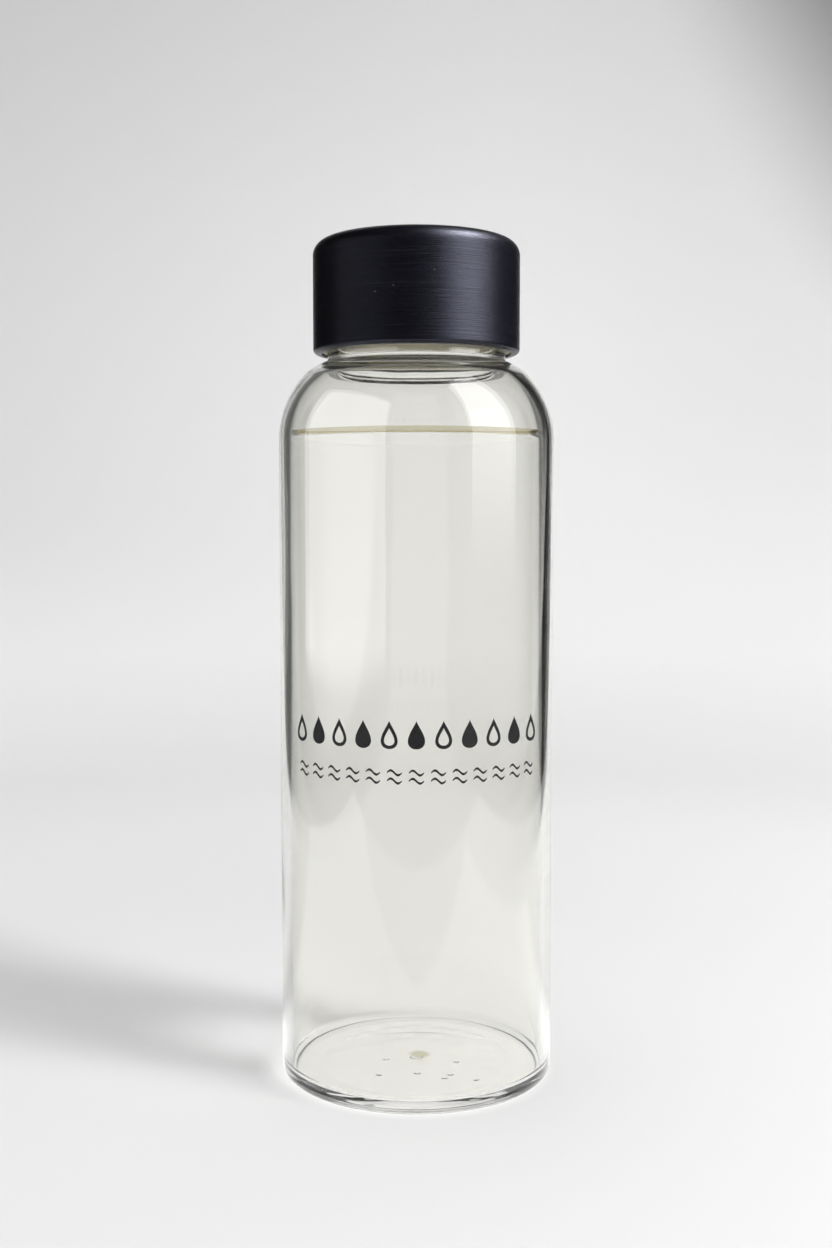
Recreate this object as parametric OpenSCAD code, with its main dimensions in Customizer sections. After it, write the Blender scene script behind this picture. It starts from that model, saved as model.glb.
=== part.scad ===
// Half-litre glass water bottle with a turned wooden screw lid.
// Millimetres, +Z up. The origin is the centre of the bottle's foot, on the surface that it stands on.

/* [Glass body] */
// Outer diameter of the body
body_d = 68; // [66:0.5:72]
// Thickness of the side wall
wall = 2.5; // [2.2:0.1:2.8]
// Height at which the shoulder starts to turn in
shoulder_z = 158.5; // [120:0.5:200]
// Height of the shoulder's curve
shoulder_h = 19.5; // [18:0.5:21]
// How far the shoulder's curve reaches in from the wall
shoulder_w = 14.3; // [13.5:0.1:15]
// Radius of the upper, tighter part of the shoulder's curve
shoulder_r = 11; // [9:0.5:12]
// Thickness of the floor at the wall
floor_t = 2.7; // [2.4:0.1:6]
// Radius of the outer heel
heel_r = 2.2; // [1.5:0.1:3]

/* [Neck and mouth] */
// Outer diameter of the plain neck band under the thread
neck_d = 44; // [43.6:0.1:44.2]
// Diameter of the mouth's bore
bore_d = 39; // [38:0.1:39.4]
// Outer diameter of the glass between the thread's turns
finish_d = 42.4; // [42:0.1:42.5]
// Height from the top of the neck band to the lip
finish_h = 15.6; // [14.8:0.1:16]

/* [Screw thread] */
// Rise in one full turn
lead = 6; // [5.5:0.1:6.2]
// Number of turns
turns = 1.25; // [1:0.05:1.25]

/* [Lid] */
// Outer diameter of the wooden lid
lid_d = 51; // [50:0.5:56]
// Height of the wooden lid
lid_h = 27.5; // [24:0.5:32]
// Radius of the lid's top edge
lid_edge_r = 3.8; // [1:0.1:5]
// Thickness of the silicone seal
seal_t = 1.6; // [1.2:0.1:2]

/* [Hidden] */
$fn = 96;

// Shoulder: a long lower arc tangent to the wall, and a tighter upper arc tangent to it
body_r = body_d / 2;
arc_turn = 2 * atan((shoulder_w - shoulder_r) / (shoulder_h - shoulder_r));
lower_r = shoulder_r + (shoulder_h - shoulder_r) / sin(arc_turn);
lower_x = body_r - lower_r;
upper_x = body_r - shoulder_w;
upper_z = shoulder_z + shoulder_h - shoulder_r;
seam_overlap = 0.005;

// Foot: a flat ring to stand on, round a shallow dome with a gate mark at its centre
dome_rim_r = 24;
dome_h = 0.6;
dome_r = (dome_rim_r * dome_rim_r + dome_h * dome_h) / (2 * dome_h);
gate_r = 2.2;
gate_drop = 0.3;
corner_r = 2.0;
crown_h = 0.4;
cavity_r = body_r - wall;
crown_rim_r = cavity_r - corner_r;
crown_r = (crown_rim_r * crown_rim_r + crown_h * crown_h) / (2 * crown_h);

// Neck: a blend rounds the corner between the shoulder's upper arc and a neck of radius r
neck_r = neck_d / 2;
bore_r = bore_d / 2;
finish_r = finish_d / 2;
root_r = 1;
throat_r = 1.2;
function blend_rise(arc_r, r, blend_r) = sqrt(pow(arc_r + blend_r, 2) - pow(r + blend_r - upper_x, 2));
root_z = upper_z + blend_rise(shoulder_r, neck_r, root_r);
band_top_z = root_z + 2.7;
lip_z = band_top_z + finish_h;
lip_r = 0.8;

// Thread, seen in section: a trapezoid that stands on a foot sunk into its wall
thread_base = 2.2;
thread_tip = 1.2;
thread_sink = 0.4;
thread_fade = 30;
thread_step = 10;
radial_gap = 0.4;
flank_gap = 0.3;
glass_tip_r = neck_r;
liner_root_r = glass_tip_r + radial_gap;
liner_tip_r = finish_r + 0.35;
glass_thread_z = band_top_z + 3.7;
liner_thread_z = glass_thread_z - (thread_base + thread_tip) / 2 + 0.25 - flank_gap;

// Lid, from the outside in
lid_r = lid_d / 2;
lid_z = root_z + 1.3;
lid_top_z = lid_z + lid_h;
lid_foot_r = 1.2;
liner_wall = 1;
liner_r = liner_root_r + liner_wall;
liner_foot = 0.6;
liner_top_t = 1.4;
seal_top_z = lip_z + seal_t;
liner_top_z = seal_top_z + liner_top_t;
spigot_r = 18.3;
spigot_wall = 1.2;
spigot_drop = 1.6;
seal_r = finish_r + 0.5;
seal_gap = 0.3;
joint_eps = 0.01;

// A helical ridge of whole steps, with both ends faded into the wall.
// root and tip are radii: the tip lies outside the root on glass and inside it in the liner.
module thread_ridge(root, tip, start_z) {
    out = sign(tip - root);
    foot = root - out * thread_sink;
    slope = (thread_base - thread_tip) / 2 / abs(tip - root);
    sweep = turns * 360;
    steps = round(sweep / thread_step);
    function fade(a) = min(1, a / thread_fade, (sweep - a) / thread_fade);
    function crest(a) = root - out * thread_sink / 2 + (tip - root + out * thread_sink / 2) * fade(a);
    function half_foot() = thread_base / 2 + slope * thread_sink;
    function half_crest(a) = thread_base / 2 - slope * abs(crest(a) - root) * sign((crest(a) - root) * out);
    function spot(r, a, z) = [r * cos(a), r * sin(a), z];
    function ring(a) = let (z = start_z + lead * a / 360)
        out > 0
        ? [spot(foot, a, z - half_foot()), spot(crest(a), a, z - half_crest(a)),
           spot(crest(a), a, z + half_crest(a)), spot(foot, a, z + half_foot())]
        : [spot(foot, a, z + half_foot()), spot(crest(a), a, z + half_crest(a)),
           spot(crest(a), a, z - half_crest(a)), spot(foot, a, z - half_foot())];
    points = [for (i = [0 : steps]) each ring(sweep * i / steps)];
    sides = [for (i = [0 : steps - 1], k = [0 : 3])
        let (a = 4 * i + k, b = 4 * i + (k + 1) % 4, c = b + 4, d = a + 4)
        each [[a, b, d], [b, c, d]]];
    last = 4 * steps;
    ends = [[0, 2, 1], [0, 3, 2], [last, last + 1, last + 2], [last, last + 2, last + 3]];
    polyhedron(points = points, faces = concat(sides, ends));
}

// Half-section of the space under the two shoulder arcs, drawn in by an inset.
// The upper circle is a hair large, so that the two arcs cross cleanly where they meet.
module shoulder_section(inset) {
    low_r = lower_r - inset;
    high_r = shoulder_r - inset + seam_overlap;
    split_z = shoulder_z + low_r * sin(arc_turn);
    intersection() {
        translate([lower_x, shoulder_z])
            circle(r = low_r);
        translate([0, shoulder_z])
            square([body_r, split_z - shoulder_z]);
    }
    translate([0, shoulder_z])
        square([upper_x, upper_z - shoulder_z + high_r]);
    intersection() {
        translate([upper_x, upper_z])
            circle(r = high_r);
        translate([0, shoulder_z])
            square([body_r, upper_z - shoulder_z + high_r]);
    }
}

// Half-section of a plain cylinder whose chosen corners are rounded
module rounded_bar(r, low, high, low_r, high_r) {
    difference() {
        translate([0, low])
            square([r, high - low]);
        if (low_r > 0)
            translate([r - low_r, low])
                corner_waste(low_r, -1);
        if (high_r > 0)
            translate([r - high_r, high])
                corner_waste(high_r, 1);
    }
}

// What a rounding of radius r takes off a corner; side is 1 for an upper corner, -1 for a lower one
module corner_waste(r, side) {
    difference() {
        translate([0, side > 0 ? -r : 0])
            square([r + 1, r]);
        translate([0, -side * r])
            circle(r = r);
    }
}

// What rounds the corner between an arc around the shoulder's upper centre and a neck of radius r
module neck_blend_section(arc_r, r, blend_r) {
    rise = blend_rise(arc_r, r, blend_r);
    reach = arc_r / (arc_r + blend_r);
    difference() {
        polygon([
            [r - 1, upper_z + rise],
            [r - 1, upper_z + rise - blend_r - 1],
            [upper_x + (r + blend_r - upper_x) * reach, upper_z + rise * reach],
            [r + blend_r, upper_z + rise]
        ]);
        translate([r + blend_r, upper_z + rise])
            circle(r = blend_r);
    }
}

// Half-section of the bottle as if it were solid
module outer_section() {
    difference() {
        rounded_bar(body_r, 0, shoulder_z, heel_r, 0);
        difference() {
            translate([0, dome_h - dome_r])
                circle(r = dome_r);
            translate([0, dome_h - gate_drop + gate_r])
                circle(r = gate_r);
        }
    }
    shoulder_section(0);
    neck_blend_section(shoulder_r, neck_r, root_r);
    translate([0, upper_z])
        square([neck_r, band_top_z - upper_z - lip_r]);
    rounded_bar(neck_r, band_top_z - lip_r, band_top_z, 0, lip_r);
    rounded_bar(finish_r, band_top_z - lip_r, lip_z, 0, lip_r);
}

// Half-section of the space inside the bottle, out through the mouth
module cavity_section() {
    difference() {
        rounded_bar(cavity_r, floor_t, shoulder_z, corner_r, 0);
        translate([0, floor_t + crown_h - crown_r])
            circle(r = crown_r);
    }
    shoulder_section(wall);
    neck_blend_section(shoulder_r - wall, bore_r, throat_r);
    translate([0, upper_z])
        square([bore_r, lip_z - upper_z + 1]);
    difference() {
        translate([0, lip_z - lip_r])
            square([bore_r + lip_r, lip_r + 1]);
        translate([bore_r + lip_r, lip_z - lip_r])
            circle(r = lip_r);
    }
}

module glass_bottle() {
    color([0.86, 0.92, 0.88, 0.4]) {
        rotate_extrude()
            difference() {
                outer_section();
                cavity_section();
            }
        thread_ridge(finish_r, glass_tip_r, glass_thread_z);
    }
}

module lid_shell() {
    color([0.07, 0.07, 0.09])
        rotate_extrude()
            difference() {
                rounded_bar(lid_r, lid_z, lid_top_z, lid_foot_r, lid_edge_r);
                translate([0, lid_z - 1])
                    square([liner_r, liner_top_z - lid_z + 1]);
            }
}

module threaded_insert() {
    color([0.86, 0.84, 0.74]) {
        rotate_extrude()
            difference() {
                translate([0, lid_z + liner_foot])
                    square([liner_r, liner_top_z - lid_z - liner_foot]);
                difference() {
                    translate([0, lid_z])
                        square([liner_root_r, seal_top_z - lid_z]);
                    translate([spigot_r - spigot_wall, lip_z - spigot_drop])
                        square([spigot_wall, seal_top_z - lip_z + spigot_drop + joint_eps]);
                }
            }
        thread_ridge(liner_root_r, liner_tip_r, liner_thread_z);
    }
}

module silicone_seal() {
    color([0.9, 0.9, 0.88])
        rotate_extrude()
            translate([spigot_r + seal_gap, lip_z])
                square([seal_r - spigot_r - seal_gap, seal_t]);
}

glass_bottle();
lid_shell();
threaded_insert();
silicone_seal();
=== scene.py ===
"""Glass water bottle with a turned black wooden lid: the looks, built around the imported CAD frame.

Sizes of the bottle, the water and the print are in millimetres, and become metres when a mesh or
a material is made. Sizes of the studio are in metres. Angles are in degrees unless noted.
"""

import math

import bmesh
import bpy
import numpy as np
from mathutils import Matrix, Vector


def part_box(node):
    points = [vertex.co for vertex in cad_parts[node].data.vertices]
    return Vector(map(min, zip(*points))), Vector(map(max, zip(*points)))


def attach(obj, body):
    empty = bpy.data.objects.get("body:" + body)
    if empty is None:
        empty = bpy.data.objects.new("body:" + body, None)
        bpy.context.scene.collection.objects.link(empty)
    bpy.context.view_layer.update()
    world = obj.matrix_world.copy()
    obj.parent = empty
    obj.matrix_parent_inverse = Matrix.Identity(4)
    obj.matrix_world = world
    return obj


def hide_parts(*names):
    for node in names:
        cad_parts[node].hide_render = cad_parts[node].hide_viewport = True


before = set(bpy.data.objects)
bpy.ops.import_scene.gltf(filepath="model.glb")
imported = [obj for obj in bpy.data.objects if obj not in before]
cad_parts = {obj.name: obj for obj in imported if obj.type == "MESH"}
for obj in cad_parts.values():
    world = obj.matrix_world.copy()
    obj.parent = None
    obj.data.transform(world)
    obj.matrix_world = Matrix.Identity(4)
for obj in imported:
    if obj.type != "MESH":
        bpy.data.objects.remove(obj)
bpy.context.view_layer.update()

MM = 0.001
TINY = 1e-6

# ---------------------------------------------------------------- the bottle's sizes
# The body's radius and the lip's height come from the frame. The rest follows the CAD's section.
glass_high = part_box("glass_bottle")[1] / MM
BODY_R = glass_high.x
LIP_Z = glass_high.z
SEGMENTS = 192

WALL = 2.5
FLOOR_Z = 2.7
HEEL_R = 2.2
CORNER_R = 2.0
# The cavity's corner stops short of a quarter turn, and the floor starts a little further in
CORNER_TURN, CORNER_CUT = 84, 0.4

# Shoulder: a long lower arc that leaves the wall, then a tighter one around UPPER
SHOULDER_Z = 158.5
LOWER_R = 23.612
ARC_TURN = 42.406
UPPER = (BODY_R - 14.3, 167.0)
UPPER_R = 11.0

# Neck and mouth
NECK_R = 22.0
NECK_ROOT_R = 1.0
BAND_TOP_Z = LIP_Z - 15.6
BAND_EDGE_R = 0.5
FINISH_R = 21.2
FINISH_ROOT_R = 0.3
BORE_R = 19.5
THROAT_R = 1.2
LIP_R = 0.8

# Thread on the finish
THREAD_Z = BAND_TOP_Z + 3.7
THREAD_LEAD = 6.0
THREAD_TURNS = 1.25
THREAD_BASE = 2.2
THREAD_TIP = 1.2
THREAD_FADE = math.radians(30)
THREAD_CLEAR = 0.5

# Foot: a shallow dome with a gate mark, a low crown inside, and pips (x, y, height) from the mould
DOME_RIM_R = 24.0
DOME_RIM_CUT = 0.15
DOME_H = 0.6
GATE_R = 1.5
GATE_DROP = 0.25
GATE_SHARPNESS = 5
GATE_FINE_R = 4
CROWN_H = 0.4
MARKS = [
    (-7.7, -1.4, 0.30),
    (-9.2, -11.5, 0.20),
    (0.2, -10.8, 0.42),
    (6.8, -13.7, 0.22),
    (8.3, -11.5, 0.28),
    (10.1, -2.9, 0.30),
    (14.6, -14.4, 0.20),
]
MARK_SPREAD = 0.25
MARKS_ZONE = (4.0, 22.0)

# Water: its level, how high and how fast it climbs the glass, and the width of its rim of painted
# light and shade
WATER_Z = 158.8
MENISCUS_H = 1.6
CAPILLARY = 0.9
RIM_W = 1.6
WATER_GAP = 0.02

# Print: a row of drops over rows of waves, as films that reach out of the wall and into it
PRINT_SKIN, PRINT_SUNK = 0.03, 0.03
DROPS = 11
DROP_PITCH = 6.3
DROP_W = 4.6
DROP_H = 6.6
DROP_Z = 89.9
DROP_TAPER, DROP_SWELL, DROP_HEART = 1.6, 1.25, 0.18
DROP_FULL, DROP_RING = 0.005, 0.62
WAVES = 13
WAVE_PITCH = 5.1
WAVE_W = 3.5
WAVE_A = 0.55
WAVE_T = 0.62
WAVE_GAP = 1.9
WAVE_Z = 80.2
WAVE_STEPS = 18
WAVE_SIDES = (-0.5, -0.17, 0.17, 0.5)

# ---------------------------------------------------------------- the glass's looks
# Colour by slant, from face on to edge on
GLASS_TINT = [
    (0.0, (0.966, 0.961, 0.932)),
    (0.55, (0.955, 0.952, 0.925)),
    (1.0, (0.86, 0.88, 0.835)),
]
GLASS_IOR = 1.52
DRY_GLOSS, WET_GLOSS = 1.0, 0.12

# The olive spot of the gate mark, between two heights (from, to) in the floor
DOT_X = 0.8
DOT_R = (1.6, 3.4)
DOT_LOW, DOT_HIGH = (1.8, 2.4), (5, 6)
DOT_COLOUR = (0.42, 0.38, 0.20)

# Light that the glass lets through to its shadow, by slant to the lamp, at the foot and above it
SHADOW_FOOT = [(0.262, 0.98), (0.285, 0.93), (0.33, 0.52), (0.40, 0.52), (0.50, 0.78), (0.65, 0.86)]
SHADOW_BODY = [(0.26, 0.50), (0.38, 0.54), (0.48, 0.74), (0.62, 0.90), (0.8, 0.95)]
SHADOW_CHANGE = (12, 50)
SHADOW_LOW, SHADOW_HIGH = (4.5, 6), (150, 168)
SHADOW_EDGE = 4

# ---------------------------------------------------------------- the studio's sizes, in metres
SWEEP_FLAT, SWEEP_BEND, SWEEP_TOP = 0.45, 0.42, 1.3
SWEEP_Z = -0.00004
SWEEP_SIDES, FLAT_STEPS, BEND_STEPS = 128, 6, 32

# The paper's whiteness with painted shade by height, and painted light and shade by place around the
# bottle:
# darker to the left, to the right and in the far right corner, lighter far off and under the foot
PAPER_SHADE_STOPS = [
    (0.0, 0.80),
    (0.05, 0.87),
    (0.28, 0.85),
    (0.40, 0.82),
    (0.50, 0.77),
    (0.60, 0.72),
    (1.0, 0.67),
]
LEFT_DARK, LEFT_X, LEFT_Z = 0.22, (-0.6, 0.1), (0.0, 0.15)
RIGHT_DARK, RIGHT_X, RIGHT_Z = 0.07, (0.05, 0.32), (0.02, 0.25)
CORNER_DARK, CORNER_SLOPE, CORNER_REACH, CORNER_Y = 0.92, 2.0, (0.9, 1.4), (0.0, 0.3)
FAR_LIGHT, FAR_R = 0.07, (0.12, 0.35)
UNDER_LIGHT, UNDER_R = 0.22, (0.030, 0.036)

# The white table top, which is all that reflections see, and its part that is painted brighter in
# them
TABLE_LEFT, TABLE_RIGHT, TABLE_FRONT = -0.345, 0.349, -0.28
TABLE_BLUR = 0.012
BRIGHT_GAIN = 1.0
BRIGHT_FRONT, BRIGHT_SLOPE, BRIGHT_BLUR = -0.13, 0.6, 0.01
BRIGHT_X, BRIGHT_Y, BRIGHT_Z = (0.195, 0.22), (0.02, 0.05), (0.03, 0.08)

# The white backdrop's two edges, on the table and above EDGE_SPREAD_Z. Refractions see dark
# beyond them, as far as GAP_END on the right
EDGE_RIGHT = (0.25, 0.30)
EDGE_LEFT = (0.28, 0.38)
EDGE_SPREAD_Z = 0.12
EDGE_BLUR = 0.02
GAP_END = (0.48, 0.52)
# Painted darkness past the set, and a dimmer painted grey to the left, given out as emitted colour
DARK, DARK_LEFT, DARK_X = (0.02, 0.02, 0.02), (0.12, 0.125, 0.12), (-0.1, 0.1)

# Lights. A fade is the height over which a panel's lower edge comes up
KEY = dict(azimuth=66.0, distance=0.6, width=0.466, low=0.08, high=1.3, radiance=3.3)
FILL = dict(azimuth=-63.0, distance=0.45, width=0.72, low=0.03, high=0.62, radiance=1.9)
KEY_FADE, FILL_FADE = (0.09, 0.24), (0.04, 0.07)
NECK = dict(azimuth=0.0, distance=0.6, width=0.5, low=0.0, high=0.3, radiance=7.0)
LID_PANELS = {
    "lid_fill": dict(azimuth=-65.0, distance=0.6, width=0.69, low=0.1, high=0.6, radiance=0.32),
    "lid_key": dict(azimuth=59.0, distance=0.6, width=0.45, low=0.147, high=1.3, radiance=5.2),
    "lid_glint": dict(
        azimuth=81.0, distance=0.6, width=0.34, low=0.82, high=1.12, radiance=46.0, lift=52.0
    ),
}
SUN_AZIMUTH, SUN_REACH, SUN_LIFT, SUN_SIZE, SUN_RADIANCE = 64.0, 0.8, 42.0, 0.21, 68.0
TOP_PLACE, TOP_SIZE, TOP_RADIANCE = (0.0, 0.3, 1.8), 1.6, 0.79
WORLD_LIGHT = 0.505
LAST_DEPTH = 4.5

CAMERA_PLACE, CAMERA_TILT, CAMERA_LENS = (-0.0001, -0.37105, 0.13895), 3.993, 42.80
SENSOR_W, CLIP = 36.0, (0.01, 20.0)
BOUNCES, GLOSSY_BOUNCES = 24, 12


# ---------------------------------------------------------------- half-sections
def arc(centre, radius, start, end, step=3.0, hollow=False):
    """Points and outward normals along an arc; a hollow arc's normals point at its centre."""
    count = max(2, math.ceil(abs(end - start) / step))
    side = -1 if hollow else 1
    found = []
    for i in range(count + 1):
        a = math.radians(start + (end - start) * i / count)
        c, s = math.cos(a), math.sin(a)
        found.append((centre[0] + radius * c, centre[1] + radius * s, side * c, side * s))
    return found


def line(start, end, normal, count=1):
    """Points along a straight stretch, ends included, all with one normal."""
    return [
        (
            start[0] + (end[0] - start[0]) * i / count,
            start[1] + (end[1] - start[1]) * i / count,
            normal[0],
            normal[1],
        )
        for i in range(count + 1)
    ]


def curve(height, start, end, count, side):
    """Points and normals along z = height(r); side is 1 where the outside is above, -1 below."""
    found = []
    h = 0.01
    for i in range(count + 1):
        r = start + (end - start) * i / count
        slope = (height(r + h) - height(abs(r - h))) / (2 * h) if r > h else 0.0
        length = math.hypot(slope, 1)
        found.append((r, height(r), -side * slope / length, side / length))
    return found


def join(*stretches, gap=1e-4):
    """One section from several, with the points that two stretches share kept once."""
    section = []
    for stretch in stretches:
        for point in stretch:
            if section and math.dist(section[-1][:2], point[:2]) < gap:
                continue
            section.append(point)
    return section


def underside(r):
    """Height of the bottle's underside: a shallow dome, with the gate mark under its middle."""
    dome_r = (DOME_RIM_R**2 + DOME_H**2) / (2 * DOME_H)
    dome = DOME_H - dome_r + math.sqrt(dome_r**2 - min(r, DOME_RIM_R) ** 2)
    ease = 0.5 * (1 + math.tanh((GATE_R - r) * GATE_SHARPNESS))
    return max(dome, 0.0) - GATE_DROP * ease


def crown(r):
    """Height of the cavity's floor, a little higher in the middle."""
    rim = BODY_R - WALL - CORNER_R
    crown_r = (rim**2 + CROWN_H**2) / (2 * CROWN_H)
    return FLOOR_Z + CROWN_H - crown_r + math.sqrt(crown_r**2 - r**2)


def towards(start, end):
    """Direction from one point to another, as an angle."""
    return math.degrees(math.atan2(end[1] - start[1], end[0] - start[0]))


def blend_centre(reach, r, blend):
    """Centre of the rounding between the shoulder's upper arc and a neck of radius r."""
    x = r + blend
    return x, UPPER[1] + math.sqrt((reach + blend) ** 2 - (x - UPPER[0]) ** 2)


def outer_section():
    """The bottle's outside, from the middle of its underside up to the lip."""
    heel = (BODY_R - HEEL_R, HEEL_R)
    lower = (BODY_R - LOWER_R, SHOULDER_Z)
    root = blend_centre(UPPER_R, NECK_R, NECK_ROOT_R)
    edge = BAND_EDGE_R
    foot = FINISH_ROOT_R
    return join(
        curve(underside, 0, GATE_FINE_R, count=40, side=-1),
        curve(underside, GATE_FINE_R, DOME_RIM_R - DOME_RIM_CUT, count=90, side=-1),
        line((DOME_RIM_R + DOME_RIM_CUT, 0), (heel[0], 0), (0, -1), count=6),
        arc(heel, HEEL_R, -90, 0),
        line((BODY_R, HEEL_R), (BODY_R, SHOULDER_Z), (1, 0), count=40),
        arc(lower, LOWER_R, 0, ARC_TURN, step=2),
        arc(UPPER, UPPER_R, ARC_TURN, towards(UPPER, root), step=2),
        arc(root, NECK_ROOT_R, towards(root, UPPER), -180, step=6, hollow=True),
        line((NECK_R, root[1]), (NECK_R, BAND_TOP_Z - edge), (1, 0), count=3),
        arc((NECK_R - edge, BAND_TOP_Z - edge), edge, 0, 90, step=9),
        arc((FINISH_R + foot, BAND_TOP_Z + foot), foot, 270, 180, step=15, hollow=True),
        line((FINISH_R, BAND_TOP_Z + foot), (FINISH_R, LIP_Z - LIP_R), (1, 0), count=84),
        arc((FINISH_R - LIP_R, LIP_Z - LIP_R), LIP_R, 0, 90, step=9),
    )


def inner_section():
    """The cavity from the lip down to the middle of the floor, split at the water's edge."""
    lip = (BORE_R + LIP_R, LIP_Z - LIP_R)
    throat = blend_centre(UPPER_R - WALL, BORE_R, THROAT_R)
    lower = (BODY_R - LOWER_R, SHOULDER_Z)
    edge_rise = WATER_Z + MENISCUS_H - SHOULDER_Z
    edge_turn = math.degrees(math.asin(edge_rise / (LOWER_R - WALL)))
    inner_r = BODY_R - WALL
    corner = (inner_r - CORNER_R, FLOOR_Z + CORNER_R)
    dry = join(
        arc(lip, LIP_R, 90, 180, step=9),
        line((BORE_R, lip[1]), (BORE_R, throat[1]), (-1, 0), count=6),
        arc(throat, THROAT_R, 180, 180 + towards(UPPER, throat), step=5),
        arc(UPPER, UPPER_R - WALL, towards(UPPER, throat), ARC_TURN, step=2, hollow=True),
        arc(lower, LOWER_R - WALL, ARC_TURN, edge_turn, step=2, hollow=True),
    )
    wet = join(
        arc(lower, LOWER_R - WALL, edge_turn, 0, step=2, hollow=True),
        line((inner_r, SHOULDER_Z), (inner_r, corner[1]), (-1, 0), count=40),
        arc(corner, CORNER_R, 0, -CORNER_TURN, step=6, hollow=True),
        curve(crown, corner[0] - CORNER_CUT, 0, count=40, side=1),
    )
    return dry, wet


# ---------------------------------------------------------------- meshes
def add_piece(name, mesh):
    """An object in the scene for a mesh."""
    piece = bpy.data.objects.new(name, mesh)
    bpy.context.scene.collection.objects.link(piece)
    return piece


def in_metres(verts):
    return [tuple(c * MM for c in v) for v in verts]


def lathe(name, section, shift=None):
    """A closed turned mesh from a section that starts and ends on the axis.

    shift(r, z, nz, angle) gives how far a point moves along its normal. The faces around a moved
    point get measured normals, and all others keep the section's exact ones. Also returns the
    row of the section that each face comes from.
    """
    turns = [2 * math.pi * k / SEGMENTS for k in range(SEGMENTS)]
    verts, normals, moved, rings = [], [], [], []
    for r, z, nr, nz in section:
        if r < TINY:
            rings.append([len(verts)])
            verts.append((0, 0, z))
            normals.append((0, 0, math.copysign(1, nz)))
            moved.append(False)
            continue
        rings.append(range(len(verts), len(verts) + SEGMENTS))
        for a in turns:
            off = shift(r, z, nz, a) if shift else 0.0
            c, s = math.cos(a), math.sin(a)
            verts.append(((r + nr * off) * c, (r + nr * off) * s, z + nz * off))
            normals.append((nr * c, nr * s, nz))
            moved.append(abs(off) > TINY)
    faces, rows = [], []
    for i, (low, high) in enumerate(zip(rings, rings[1:])):
        for k in range(SEGMENTS):
            m = (k + 1) % SEGMENTS
            if len(low) == 1:
                faces.append((low[0], high[m], high[k]))
            elif len(high) == 1:
                faces.append((low[k], low[m], high[0]))
            else:
                faces.append((low[k], low[m], high[m], high[k]))
            rows.append(i)
    mesh = bpy.data.meshes.new(name)
    mesh.from_pydata(in_metres(verts), [], faces)
    mesh.update()
    mesh.shade_smooth()
    measured = np.zeros(len(verts) * 3)
    mesh.vertex_normals.foreach_get("vector", measured)
    chosen = np.array(normals)
    near = np.zeros(len(verts), bool)
    if any(moved):
        hit = np.array(moved)
        for face in faces:
            if hit[list(face)].any():
                near[list(face)] = True
    chosen[near] = measured.reshape(-1, 3)[near]
    mesh.normals_split_custom_set_from_vertices(chosen.tolist())
    return add_piece(name, mesh), rows


def thread_height(z, angle):
    """How far the glass thread stands out of the finish at a height and an angle in radians."""
    best = 0.0
    sweep = THREAD_TURNS * 2 * math.pi
    for lap in range(2):
        turn = angle + 2 * math.pi * lap
        if turn > sweep:
            continue
        fade = min(1.0, turn / THREAD_FADE, (sweep - turn) / THREAD_FADE)
        off = abs(z - (THREAD_Z + THREAD_LEAD * turn / (2 * math.pi)))
        slope = (THREAD_BASE / 2 - off) / ((THREAD_BASE - THREAD_TIP) / 2)
        ramp = min(1.0, max(0.0, slope))
        best = max(best, (NECK_R - FINISH_R) * fade * ramp * ramp * (3 - 2 * ramp))
    return best


def mould_marks(x, y):
    """Small raised pips around the gate mark, like those that a bottle mould leaves."""
    height = 0.0
    for at_x, at_y, tall in MARKS:
        d2 = (x - at_x) ** 2 + (y - at_y) ** 2
        height += tall * math.exp(-d2 / MARK_SPREAD)
    return height


def glass_shift(r, z, nz, angle):
    """What stands out of the turned glass: the thread on the finish and the marks underneath."""
    margin = 0.01
    if r > FINISH_R - margin and BAND_TOP_Z + THREAD_CLEAR < z < LIP_Z - LIP_R + margin:
        return thread_height(z, angle)
    if nz < -0.5 and MARKS_ZONE[0] < r < MARKS_ZONE[1] and z < DOME_H:
        return mould_marks(r * math.cos(angle), r * math.sin(angle))
    return 0.0


def make_glass():
    """The bottle as one closed mesh; the faces that the water wets have their own slot."""
    dry, wet = inner_section()
    section = join(outer_section(), dry, wet)
    piece, rows = lathe("bottle_glass", section, glass_shift)
    first_wet = len(section) - len(wet)
    piece.data.polygons.foreach_set("material_index", [int(r >= first_wet) for r in rows])
    piece.data.materials.append(glass_material("clear_glass_dry", DRY_GLOSS))
    piece.data.materials.append(glass_material("clear_glass_wet", WET_GLOSS))
    return piece


def make_water():
    """The water: a free surface that climbs a little at the glass, and sides just clear of it."""
    gap = WATER_GAP
    dry, wet = inner_section()
    inner_r, edge_z = wet[0][:2]
    flat_r = 20  # the climb at the glass is too far off to matter within this

    def surface(r):
        return WATER_Z + (edge_z - WATER_Z) * math.exp(-(inner_r - r) / CAPILLARY)

    top = curve(surface, 0, flat_r, count=10, side=1)
    top += curve(surface, flat_r, inner_r - gap, count=50, side=1)
    sides = [(max(r + nr * gap, 0.0), z + nz * gap, -nr, -nz) for r, z, nr, nz in wet[1:]]
    section = join(top, sides)[::-1]
    piece, rows = lathe("water_fill", section)
    first_top = len(sides)
    # Faces of the top near the glass take the rim's painted light and shade
    after_rim = first_top + sum(point[0] > inner_r - RIM_W for point in top)
    slots = [int(r >= first_top) + int(r >= after_rim) for r in rows]
    piece.data.polygons.foreach_set("material_index", slots)
    piece.data.materials.append(still_material())
    piece.data.materials.append(meniscus_painted_light_material())
    piece.data.materials.append(water_material())
    return piece


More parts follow.
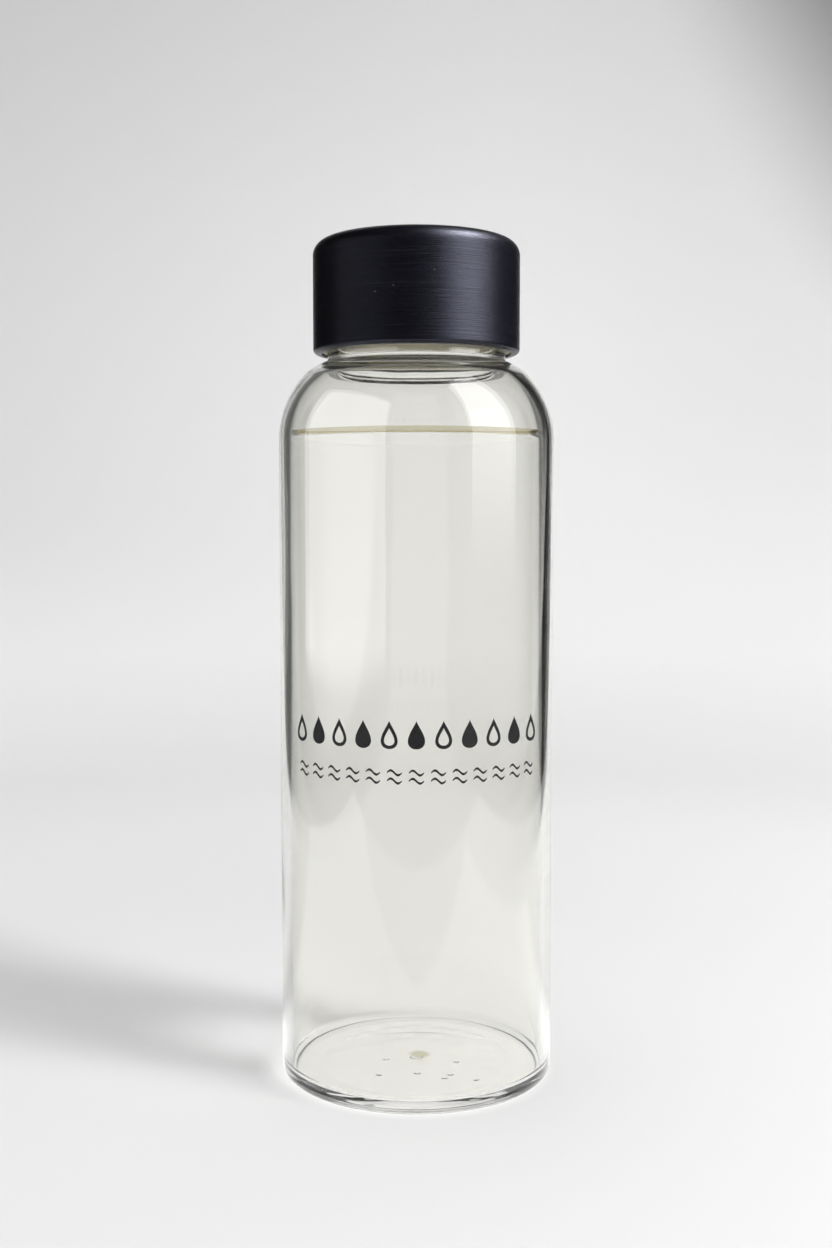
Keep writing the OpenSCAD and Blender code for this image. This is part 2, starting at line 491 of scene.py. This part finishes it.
# ---------------------------------------------------------------- the print
def film(grid, closed, base):
    """Points and faces of one closed thin film on the bottle's wall, from a grid of (along, up).

    A closed grid's rows run full circle. base is the number of the film's first point.
    """
    rows, cols = len(grid), len(grid[0])
    last_row, last_col = rows - 1, cols - 1
    span = cols if closed else last_col
    verts, faces = [], []
    for level in (BODY_R + PRINT_SKIN, BODY_R - PRINT_SUNK):
        for row in grid:
            for along, up in row:
                a = along / BODY_R - math.pi / 2
                verts.append((level * math.cos(a), level * math.sin(a), up))

    def at(i, j, under=0):
        return base + under * rows * cols + i * cols + j % cols

    def quad(*corners):
        faces.append(tuple(at(*corner) for corner in corners))

    for i in range(last_row):
        for j in range(span):
            quad((i, j), (i, j + 1), (i + 1, j + 1), (i + 1, j))
            quad((i, j, 1), (i + 1, j, 1), (i + 1, j + 1, 1), (i, j + 1, 1))
    for j in range(span):
        quad((0, j + 1), (0, j), (0, j, 1), (0, j + 1, 1))
        quad((last_row, j), (last_row, j + 1), (last_row, j + 1, 1), (last_row, j, 1))
    if not closed:
        for i in range(last_row):
            quad((i, 0), (i + 1, 0), (i + 1, 0, 1), (i, 0, 1))
            quad((i + 1, last_col), (i, last_col), (i, last_col, 1), (i + 1, last_col, 1))
    return verts, faces


def wrapped(name, patches):
    """One piece of print from patches, each a grid and whether it is closed."""
    verts, faces = [], []
    for grid, closed in patches:
        more_verts, more_faces = film(grid, closed, len(verts))
        verts += more_verts
        faces += more_faces
    mesh = bpy.data.meshes.new(name)
    mesh.from_pydata(in_metres(verts), [], faces)
    shell = bmesh.new()
    shell.from_mesh(mesh)
    bmesh.ops.recalc_face_normals(shell, faces=shell.faces)
    shell.to_mesh(mesh)
    shell.free()
    mesh.materials.append(ink_material())
    return add_piece(name, mesh)


def drop(centre, width, height, scale, points=40):
    """Closed outline of a water drop, scaled about the middle of its round end."""
    loop = []
    heart = -DROP_HEART * height
    for k in range(points):
        t = 2 * math.pi * k / points
        x = width / 2 * math.sin(t) * math.sin(t / 2) ** DROP_TAPER * DROP_SWELL
        y = height / 2 * math.cos(t)
        loop.append((centre[0] + x * scale, centre[1] + heart + (y - heart) * scale))
    return loop


def drops_patches():
    """Drops that are outlined and full by turns."""
    patches = []
    for k in range(DROPS):
        centre = ((k - (DROPS - 1) / 2) * DROP_PITCH, DROP_Z)
        inner, steps = (DROP_FULL, 6) if k % 2 else (DROP_RING, 3)
        scales = [1 + (inner - 1) * i / steps for i in range(steps + 1)]
        patches.append(([drop(centre, DROP_W, DROP_H, s) for s in scales], True))
    return patches


def wave_patches():
    """Pairs of short waves, one over the other, thinner at their ends."""
    patches = []
    for k in range(WAVES):
        middle = (k - (WAVES - 1) / 2) * WAVE_PITCH
        for lift in (-WAVE_GAP / 2, WAVE_GAP / 2):
            grid = []
            for side in WAVE_SIDES:
                row = []
                for i in range(WAVE_STEPS + 1):
                    t = i / WAVE_STEPS
                    body = WAVE_T * math.sin(math.pi * (0.1 + 0.8 * t)) ** 0.5
                    up = WAVE_Z + lift + WAVE_A * math.sin(2 * math.pi * t) + side * body
                    row.append((middle + (t - 0.5) * WAVE_W, up))
                grid.append(row)
            patches.append((grid, False))
    return patches


# ---------------------------------------------------------------- node trees
class Nodes:
    """A node tree with short calls for adding and linking nodes."""

    def __init__(self, tree):
        self.tree = tree

    def add(self, kind, links=None, **values):
        """A node with its linked inputs, and values for its other inputs or its settings."""
        node = self.tree.nodes.new(kind)
        for key, value in values.items():
            if key in node.inputs:
                node.inputs[key].default_value = value
            else:
                setattr(node, key, value)
        for key, source in (links or {}).items():
            self.link(source, node.inputs[key])
        return node

    def link(self, source, target):
        self.tree.links.new(source, target)

    def maths(self, kind, *values):
        node = self.add("ShaderNodeMath", operation=kind)
        for socket, value in zip(node.inputs, values):
            if isinstance(value, (int, float)):
                socket.default_value = value
            else:
                self.link(value, socket)
        return node.outputs[0]

    def times(self, first, *others):
        """The product of two or more values."""
        for other in others:
            first = self.maths("MULTIPLY", first, other)
        return first

    def rise(self, value, low, high):
        """A smooth step from 0 at low to 1 at high."""
        node = self.add("ShaderNodeMapRange", {"Value": value}, interpolation_type="SMOOTHSTEP")
        node.inputs["From Min"].default_value = low
        node.inputs["From Max"].default_value = high
        return node.outputs[0]

    def fall(self, value, low, high):
        """A smooth step from 1 at low to 0 at high."""
        return self.rest(self.rise(value, low, high))

    def rest(self, value):
        """What a value leaves of 1."""
        return self.maths("SUBTRACT", 1.0, value)

    def radius(self, x, y):
        """Distance from the axis."""
        squares = self.maths("ADD", self.times(x, x), self.times(y, y))
        return self.maths("SQRT", squares)


class Surface(Nodes):
    """A new material, ready for its nodes."""

    def __init__(self, name):
        self.material = bpy.data.materials.new(name)
        self.material.use_nodes = True
        super().__init__(self.material.node_tree)
        self.tree.nodes.clear()
        self.output = self.add("ShaderNodeOutputMaterial")

    def finish(self, shader):
        self.link(shader.outputs[0], self.output.inputs["Surface"])
        return self.material

    def principled(self, links, values=None):
        """A Principled shader, with its uniform values on its own sockets."""
        return self.add("ShaderNodeBsdfPrincipled", links, **(values or {}))

    def axes(self):
        """Object coordinates as separate x, y and z."""
        where = self.add("ShaderNodeTexCoord")
        apart = self.add("ShaderNodeSeparateXYZ", {"Vector": where.outputs["Object"]})
        return tuple(apart.outputs[axis] for axis in "XYZ")

    def place(self, scale):
        """Object coordinates in millimetres, stretched by scale."""
        where = self.add("ShaderNodeTexCoord")
        mapping = self.add("ShaderNodeMapping", {"Vector": where.outputs["Object"]})
        mapping.inputs["Scale"].default_value = [s / MM for s in scale]
        return mapping.outputs["Vector"]

    def noise(self, scale, detail, roughness=0.5):
        """Noise whose features are about 1 mm divided by scale."""
        values = {"Scale": 1.0, "Detail": detail, "Roughness": roughness}
        node = self.add("ShaderNodeTexNoise", {"Vector": self.place(scale)}, **values)
        return node.outputs[0]

    def cells(self, scale):
        """Distance to the nearest of scattered points, and that point's random colour."""
        node = self.add("ShaderNodeTexVoronoi", {"Vector": self.place(scale)}, Scale=1.0)
        return node.outputs["Distance"], node.outputs["Color"]

    def ramp(self, source, stops):
        """A colour ramp from (position, grey or colour) stops."""
        node = self.add("ShaderNodeValToRGB", {"Fac": source})
        elements = node.color_ramp.elements
        while len(elements) < len(stops):
            elements.new(0.5)
        for element, (position, colour) in zip(elements, stops):
            element.position = position
            element.color = (*colour, 1) if isinstance(colour, tuple) else (colour,) * 3 + (1,)
        return node.outputs["Color"]

    def blend(self, fac, low, high):
        """A colour between two others."""
        node = self.add("ShaderNodeMix", data_type="RGBA")
        self.link(fac, node.inputs[0])
        for socket, colour in ((node.inputs[6], low), (node.inputs[7], high)):
            if isinstance(colour, tuple):
                socket.default_value = (*colour, 1)
            else:
                self.link(colour, socket)
        return node.outputs[2]

    def bump(self, height, distance, normal=None):
        """A normal bent by a height, whose full range stands for a distance in millimetres."""
        node = self.add("ShaderNodeBump", {"Height": height}, Distance=distance * MM)
        if normal:
            self.link(normal, node.inputs["Normal"])
        return node.outputs["Normal"]

    def between(self, value, low, high):
        """1 between two heights, each given as the (from, to) in millimetres of its soft edge."""
        start, end = ([edge * MM for edge in edges] for edges in (low, high))
        return self.times(self.rise(value, *start), self.fall(value, *end))


# ---------------------------------------------------------------- materials
CLEAR = {"Roughness": 0.0, "Transmission Weight": 1.0}


def glass_material(name, gloss):
    """Clear soda-lime glass, a little wavy, greener where it is seen along the wall.

    gloss scales the mirror reflection, which water takes away from the faces that it wets.
    Rays to lamps go straight through, dimmed on the side that faces away from the sun.
    """
    n = Surface(name)
    waves = n.noise((0.05, 0.05, 0.018), detail=2)
    facing = n.add("ShaderNodeLayerWeight", Blend=0.35).outputs["Facing"]
    x, y, z = n.axes()
    off = n.maths("SUBTRACT", x, DOT_X * MM)
    dot = n.fall(n.radius(off, y), DOT_R[0] * MM, DOT_R[1] * MM)
    dot = n.times(dot, n.between(z, DOT_LOW, DOT_HIGH))
    tint = n.blend(dot, n.ramp(facing, GLASS_TINT), DOT_COLOUR)
    shader = n.principled(
        {"Base Color": tint, "Normal": n.bump(waves, 0.1)},
        CLEAR | {"IOR": GLASS_IOR, "Specular Tint": (gloss, gloss, gloss, 1)},
    )

    slant = n.add("ShaderNodeLayerWeight", Blend=0.5).outputs["Facing"]
    change = n.rise(z, SHADOW_CHANGE[0] * MM, SHADOW_CHANGE[1] * MM)
    dimmed = n.blend(change, n.ramp(slant, SHADOW_FOOT), n.ramp(slant, SHADOW_BODY))
    sun = math.radians(SUN_AZIMUTH)
    behind = n.maths("SUBTRACT", n.times(y, math.cos(sun)), n.times(x, math.sin(sun)))
    behind = n.rise(behind, -SHADOW_EDGE * MM, SHADOW_EDGE * MM)
    zone = n.times(behind, n.between(z, SHADOW_LOW, SHADOW_HIGH))
    colour = n.blend(zone, (1.0, 1.0, 1.0), dimmed)
    through = n.add("ShaderNodeBsdfTransparent", {"Color": colour})
    to_lamp = n.add("ShaderNodeLightPath").outputs["Is Shadow Ray"]
    links = {"Fac": to_lamp, 1: shader.outputs[0], 2: through.outputs[0]}
    return n.finish(n.add("ShaderNodeMixShader", links))


def meniscus_painted_light_material():
    """The edge of the water, where it climbs the glass: a pale foot of painted highlight under a
    khaki band of painted shade.
    """
    n = Surface("water_rim_painted_light")
    climb = n.add("ShaderNodeMapRange", {"Value": n.axes()[2]})
    climb.inputs["From Min"].default_value = WATER_Z * MM
    climb.inputs["From Max"].default_value = (WATER_Z + MENISCUS_H) * MM
    # The meniscus's light and shade, painted: pale for its highlight, khaki for its shade
    stops = [
        (0.0, (0.90, 0.88, 0.80)),
        (0.12, (0.58, 0.54, 0.36)),
        (0.5, (0.50, 0.45, 0.27)),
        (0.85, (0.56, 0.51, 0.33)),
        (0.97, (0.44, 0.39, 0.22)),
    ]
    colour = n.ramp(climb.outputs[0], stops)
    return n.finish(n.principled({"Base Color": colour}, CLEAR | {"IOR": 1.03}))


def water_material():
    """The water's free surface, with the faintest ripple."""
    n = Surface("water_surface")
    ripple = n.noise((0.08, 0.08, 0.08), detail=1)
    values = CLEAR | {"IOR": 1.333, "Base Color": (1, 1, 1, 1)}
    return n.finish(n.principled({"Normal": n.bump(ripple, 0.02)}, values))


def still_material():
    """The water's sides, where it meets the glass. They don't bend light, as in the photo."""
    n = Surface("water_sides")
    return n.finish(n.add("ShaderNodeBsdfTransparent"))


def ink_material():
    """Black screen-printed ceramic ink, slightly uneven."""
    n = Surface("printed_ink")
    grain = n.noise((1.2, 1.2, 1.2), detail=4)
    colour = n.ramp(grain, [(0.3, (0.008, 0.008, 0.009)), (0.8, (0.022, 0.021, 0.022))])
    rough = n.ramp(grain, [(0.3, 0.35), (0.8, 0.55)])
    links = {"Base Color": colour, "Roughness": rough, "Normal": n.bump(grain, 0.01)}
    return n.finish(n.principled(links))


def lid_material():
    """Black-stained turned wood under a satin lacquer: fine rings of grain, pores, small specks."""
    n = Surface("black_lacquered_wood")
    warp = n.noise((0.04, 0.04, 0.05), detail=2)
    grain = n.noise((0.03, 0.03, 2.2), detail=6, roughness=0.65)
    fine = n.noise((0.12, 0.12, 6.0), detail=4)
    pores, _ = n.cells((0.35, 0.35, 2.4))
    pits = n.ramp(pores, [(0.05, 0.0), (0.13, 1.0)])
    stops = [
        (0.30, (0.0016, 0.0014, 0.0028)),
        (0.58, (0.0030, 0.0027, 0.0054)),
        (0.70, (0.0110, 0.0110, 0.0170)),
    ]
    wood = n.ramp(grain, stops)
    distance, drawn = n.cells((0.22, 0.22, 0.5))
    chance = n.add("ShaderNodeSeparateXYZ", {"Vector": drawn}).outputs["X"]
    small = n.ramp(distance, [(0.03, 1.0), (0.075, 0.0)])
    few = n.ramp(chance, [(0.80, 0.0), (0.84, 1.0)])
    colour = n.blend(n.times(small, few), wood, (0.16, 0.16, 0.18))
    rough = n.ramp(fine, [(0.3, 0.30), (0.75, 0.42)])
    normal = n.bump(grain, 0.09)
    for height, depth in ((fine, 0.012), (pits, 0.02), (warp, 0.3)):
        normal = n.bump(height, depth, normal)
    shader = n.principled(
        {"Base Color": colour, "Roughness": rough, "Normal": normal},
        {"IOR": 1.5, "Specular Tint": (0.74, 0.77, 1.0, 1)},
    )
    return n.finish(shader)


def liner_material():
    """The moulded cream liner: semi-matt, with a light orange-peel."""
    n = Surface("moulded_liner")
    peel = n.noise((1.4, 1.4, 1.4), detail=2)
    colour = n.ramp(peel, [(0.3, (0.62, 0.59, 0.47)), (0.8, (0.70, 0.67, 0.54))])
    rough = n.ramp(peel, [(0.3, 0.42), (0.8, 0.55)])
    links = {"Base Color": colour, "Roughness": rough, "Normal": n.bump(peel, 0.02)}
    return n.finish(n.principled(links))


def seal_material():
    """Translucent white silicone, matt, with a faint mottle."""
    n = Surface("white_silicone")
    mottle = n.noise((0.5, 0.5, 0.5), detail=3)
    colour = n.ramp(mottle, [(0.3, (0.70, 0.70, 0.66)), (0.8, (0.80, 0.80, 0.77))])
    shader = n.principled(
        {"Base Color": colour, "Normal": n.bump(mottle, 0.03)},
        {"Roughness": 0.55, "Subsurface Weight": 0.4, "Subsurface Scale": 0.002},
    )
    return n.finish(shader)


# ---------------------------------------------------------------- stage
def make_sweep():
    """A pale round cyclorama: flat under the bottle, then bent up into a wall all round it."""
    profile = [(SWEEP_FLAT * i / FLAT_STEPS, 0.0) for i in range(FLAT_STEPS + 1)]
    for i in range(1, BEND_STEPS + 1):
        a = math.pi / 2 * i / BEND_STEPS
        profile.append((SWEEP_FLAT + SWEEP_BEND * math.sin(a), SWEEP_BEND * (1 - math.cos(a))))
    profile.append((SWEEP_FLAT + SWEEP_BEND, SWEEP_TOP))
    sides = SWEEP_SIDES
    verts, faces = [(0, 0, SWEEP_Z)], []
    for r, z in profile[1:]:
        for k in range(sides):
            a = 2 * math.pi * k / sides
            verts.append((r * math.cos(a), r * math.sin(a), z + SWEEP_Z))
    for k in range(sides):
        m = (k + 1) % sides
        faces.append((0, 1 + k, 1 + m))
        for i in range(len(profile) - 2):
            low, high = 1 + i * sides, 1 + (i + 1) * sides
            faces.append((low + k, high + k, high + m, low + m))
    mesh = bpy.data.meshes.new("sweep")
    mesh.from_pydata(verts, [], faces)
    mesh.shade_smooth()
    mesh.materials.append(sweep_material())
    sweep = add_piece("sweep", mesh)


def past_table(n, x, y):
    """Where the paper lies past the white table top."""
    left = n.maths("SUBTRACT", TABLE_LEFT, x)
    beyond = n.maths("MAXIMUM", n.maths("SUBTRACT", x, TABLE_RIGHT), left)
    beyond = n.maths("MAXIMUM", beyond, n.maths("SUBTRACT", TABLE_FRONT, y))
    return n.rise(beyond, -TABLE_BLUR, TABLE_BLUR)


def past_edges(n, x, z):
    """Where the paper lies past the white backdrop's edges, which stand further apart higher up."""
    gaps = n.maths("SUBTRACT", 0.0, n.rise(x, *GAP_END))
    for side, (low, high) in ((1, EDGE_RIGHT), (-1, EDGE_LEFT)):
        spread = n.times(n.rise(z, 0.0, EDGE_SPREAD_Z), high - low)
        past = n.maths("SUBTRACT", n.times(x, side), n.maths("ADD", low, spread))
        gaps = n.maths("ADD", n.rise(past, -EDGE_BLUR, EDGE_BLUR), gaps)
    return gaps


def paper_shade(n, x, y, z, seen):
    """Painted shade on the paper: what is left of its whiteness to the left, in the far right corner
    and to the right.

    seen is 1 for rays from the camera, straight or through glass: for them the corner is dark
    only behind the bottle.
    """
    left = n.times(n.fall(x, *LEFT_X), n.rise(z, *LEFT_Z))
    left = n.rest(n.times(left, LEFT_DARK))
    corner = n.rise(n.maths("ADD", n.times(x, CORNER_SLOPE), z), *CORNER_REACH)
    corner = n.times(corner, n.rest(n.times(n.fall(y, *CORNER_Y), seen)))
    corner = n.rest(n.times(corner, CORNER_DARK))
    right = n.times(n.rise(x, *RIGHT_X), n.rise(z, *RIGHT_Z))
    right = n.rest(n.times(right, RIGHT_DARK))
    return n.times(left, corner, right)


def paper_painted_light(n, x, y, z, reflected):
    """Painted light on the paper: what its whiteness gains far off, under the foot and, in
    reflections, on the table.
    """
    reach = n.radius(x, y)
    far = n.maths("ADD", 1.0, n.times(n.rise(reach, *FAR_R), FAR_LIGHT))
    far = n.maths("ADD", far, n.times(n.fall(reach, *UNDER_R), UNDER_LIGHT))
    aside = n.times(n.maths("ABSOLUTE", x), BRIGHT_SLOPE)
    ahead = n.maths("SUBTRACT", n.maths("SUBTRACT", BRIGHT_FRONT, y), aside)
    bright = n.times(
        reflected,
        n.fall(ahead, -BRIGHT_BLUR, BRIGHT_BLUR),
        n.fall(x, *BRIGHT_X),
        n.fall(y, *BRIGHT_Y),
        n.fall(z, *BRIGHT_Z),
    )
    return n.maths("ADD", far, n.times(bright, BRIGHT_GAIN))


def sweep_material():
    """Pale matt paper, with painted shade that makes it a little darker high up.

    Reflections see it only where the white table top and backdrop would be, and refractions
    see it dark beyond the backdrop's two edges, as in a studio that is black past its white set.
    """
    n = Surface("pale_paper")
    x, y, z = n.axes()
    path = n.add("ShaderNodeLightPath")
    refracted = path.outputs["Is Transmission Ray"]
    reflected = n.times(path.outputs["Is Glossy Ray"], n.rest(refracted))
    seen = n.maths("MAXIMUM", path.outputs["Is Camera Ray"], refracted)
    unseen = n.times(past_table(n, x, y), reflected)
    hidden = n.maths("MAXIMUM", unseen, n.times(past_edges(n, x, z), refracted))

    # The whiteness falls off with height: painted shade
    height = n.add("ShaderNodeMapRange", {"Value": z})
    white = n.ramp(height.outputs[0], PAPER_SHADE_STOPS)
    # Painted shade and painted light by place scale the whiteness
    scale = n.times(paper_shade(n, x, y, z, seen), paper_painted_light(n, x, y, z, reflected))
    scaled = n.add("ShaderNodeVectorMath", {0: white}, operation="SCALE")
    n.link(scale, scaled.inputs["Scale"])
    paper = n.add("ShaderNodeBsdfDiffuse", {"Color": scaled.outputs[0]})

    # Painted darkness past the set, and for refractions a dimmer painted grey to the left
    grey = n.times(n.fall(x, *DARK_X), refracted)
    dark = n.add("ShaderNodeEmission", {"Color": n.blend(grey, DARK, DARK_LEFT)})
    links = {"Fac": hidden, 1: paper.outputs[0], 2: dark.outputs[0]}
    return n.finish(n.add("ShaderNodeMixShader", links))


# ---------------------------------------------------------------- lights and camera
def add_lamp(name, width, height, radiance):
    """A rectangular light that the camera doesn't see."""
    light = bpy.data.lights.new(name, "AREA")
    light.shape = "RECTANGLE"
    light.size, light.size_y = width, height
    light.energy = radiance * math.pi * light.size * light.size_y
    lamp = bpy.data.objects.new(name, light)
    lamp.visible_camera = False
    bpy.context.scene.collection.objects.link(lamp)
    return lamp


def panel(name, azimuth, distance, width, low, high, radiance, lift=0.0):
    """A soft upright light that faces the bottle's axis, tilted down by lift.

    Azimuth is measured at the bottle, from the camera's side (-Y) towards +X.
    """
    lamp = add_lamp(name, width, high - low, radiance)
    a = math.radians(azimuth)
    lamp.location = (distance * math.sin(a), -distance * math.cos(a), (low + high) / 2)
    lamp.rotation_euler = (math.radians(90 - lift), 0, a)
    return lamp


def seen_once(lamp, foot, full):
    """Keeps a light out of paths that bounce about inside the bottle, and fades its lower edge."""
    if lamp.data.node_tree is None:
        lamp.data.use_nodes = True
    n = Nodes(lamp.data.node_tree)
    depth = n.add("ShaderNodeLightPath").outputs["Ray Depth"]
    early = n.maths("LESS_THAN", depth, LAST_DEPTH)
    place = n.add("ShaderNodeNewGeometry").outputs["Position"]
    height = n.add("ShaderNodeSeparateXYZ", {"Vector": place}).outputs["Z"]
    strength = n.times(early, n.rise(height, foot, full))
    n.link(strength, n.tree.nodes["Emission"].inputs["Strength"])


def light_only(lamp, pieces):
    """Limits a light to some pieces."""
    group = bpy.data.collections.new(lamp.name + "_receivers")
    for piece in pieces:
        group.objects.link(piece)
    lamp.light_linking.receiver_collection = group


def make_lights(glass):
    """Panels for the glass, the liner and the lid, then the sun, the top light and the world."""
    key, fill = panel("key_softbox", **KEY), panel("fill_panel", **FILL)
    for lamp, fade in ((key, KEY_FADE), (fill, FILL_FADE)):
        lamp.visible_diffuse = False
        seen_once(lamp, *fade)
        light_only(lamp, [glass])
    inner = [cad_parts[node] for node in ("threaded_insert", "silicone_seal")]
    neck = panel("neck_fill", **NECK)
    light_only(neck, inner)
    neck.light_linking.blocker_collection = neck.light_linking.receiver_collection
    for name, spec in LID_PANELS.items():
        lamp = panel(name, **spec)
        lamp.visible_diffuse = False
        light_only(lamp, [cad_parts["lid_shell"]])

    low = SUN_REACH * math.tan(math.radians(SUN_LIFT)) - SUN_SIZE / 2
    spot = (SUN_AZIMUTH, SUN_REACH, SUN_SIZE, low, low + SUN_SIZE)
    sun = panel("sun_panel", *spot, SUN_RADIANCE, SUN_LIFT)
    sun.visible_glossy = False
    sun.visible_transmission = False

    top = add_lamp("top_light", TOP_SIZE, TOP_SIZE, TOP_RADIANCE)
    top.location = TOP_PLACE
    top.visible_glossy = False

    world = bpy.data.worlds.new("studio")
    bpy.context.scene.world = world
    world.use_nodes = True
    background = world.node_tree.nodes["Background"]
    background.inputs["Color"].default_value = (WORLD_LIGHT, WORLD_LIGHT, WORLD_LIGHT, 1)
    world.cycles_visibility.glossy = False


def make_camera():
    data = bpy.data.cameras.new("camera")
    data.lens = CAMERA_LENS
    data.sensor_width = SENSOR_W
    data.clip_start, data.clip_end = CLIP
    camera = bpy.data.objects.new("camera", data)
    camera.location = CAMERA_PLACE
    camera.rotation_euler = (math.radians(90 - CAMERA_TILT), 0, 0)
    bpy.context.scene.collection.objects.link(camera)
    bpy.context.scene.camera = camera


# ---------------------------------------------------------------- build
make_camera()

glass = make_glass()
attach(glass, "bottle")
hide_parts("glass_bottle")

water = make_water()
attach(water, "bottle")

for print_name, patches in (("print_drops", drops_patches()), ("print_waves", wave_patches())):
    printed = wrapped(print_name, patches)
    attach(printed, "bottle")

for node, material in (
    ("lid_shell", lid_material()),
    ("threaded_insert", liner_material()),
    ("silicone_seal", seal_material()),
):
    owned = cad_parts[node]
    owned.data.materials.clear()
    owned.data.materials.append(material)

make_sweep()
make_lights(glass)

scene = bpy.context.scene
scene.view_settings.view_transform = "Standard"
scene.cycles.max_bounces = BOUNCES
scene.cycles.transmission_bounces = BOUNCES
scene.cycles.glossy_bounces = GLOSSY_BOUNCES
scene.cycles.transparent_max_bounces = BOUNCES
scene.cycles.sample_clamp_indirect = 0
scene.cycles.caustics_reflective = False
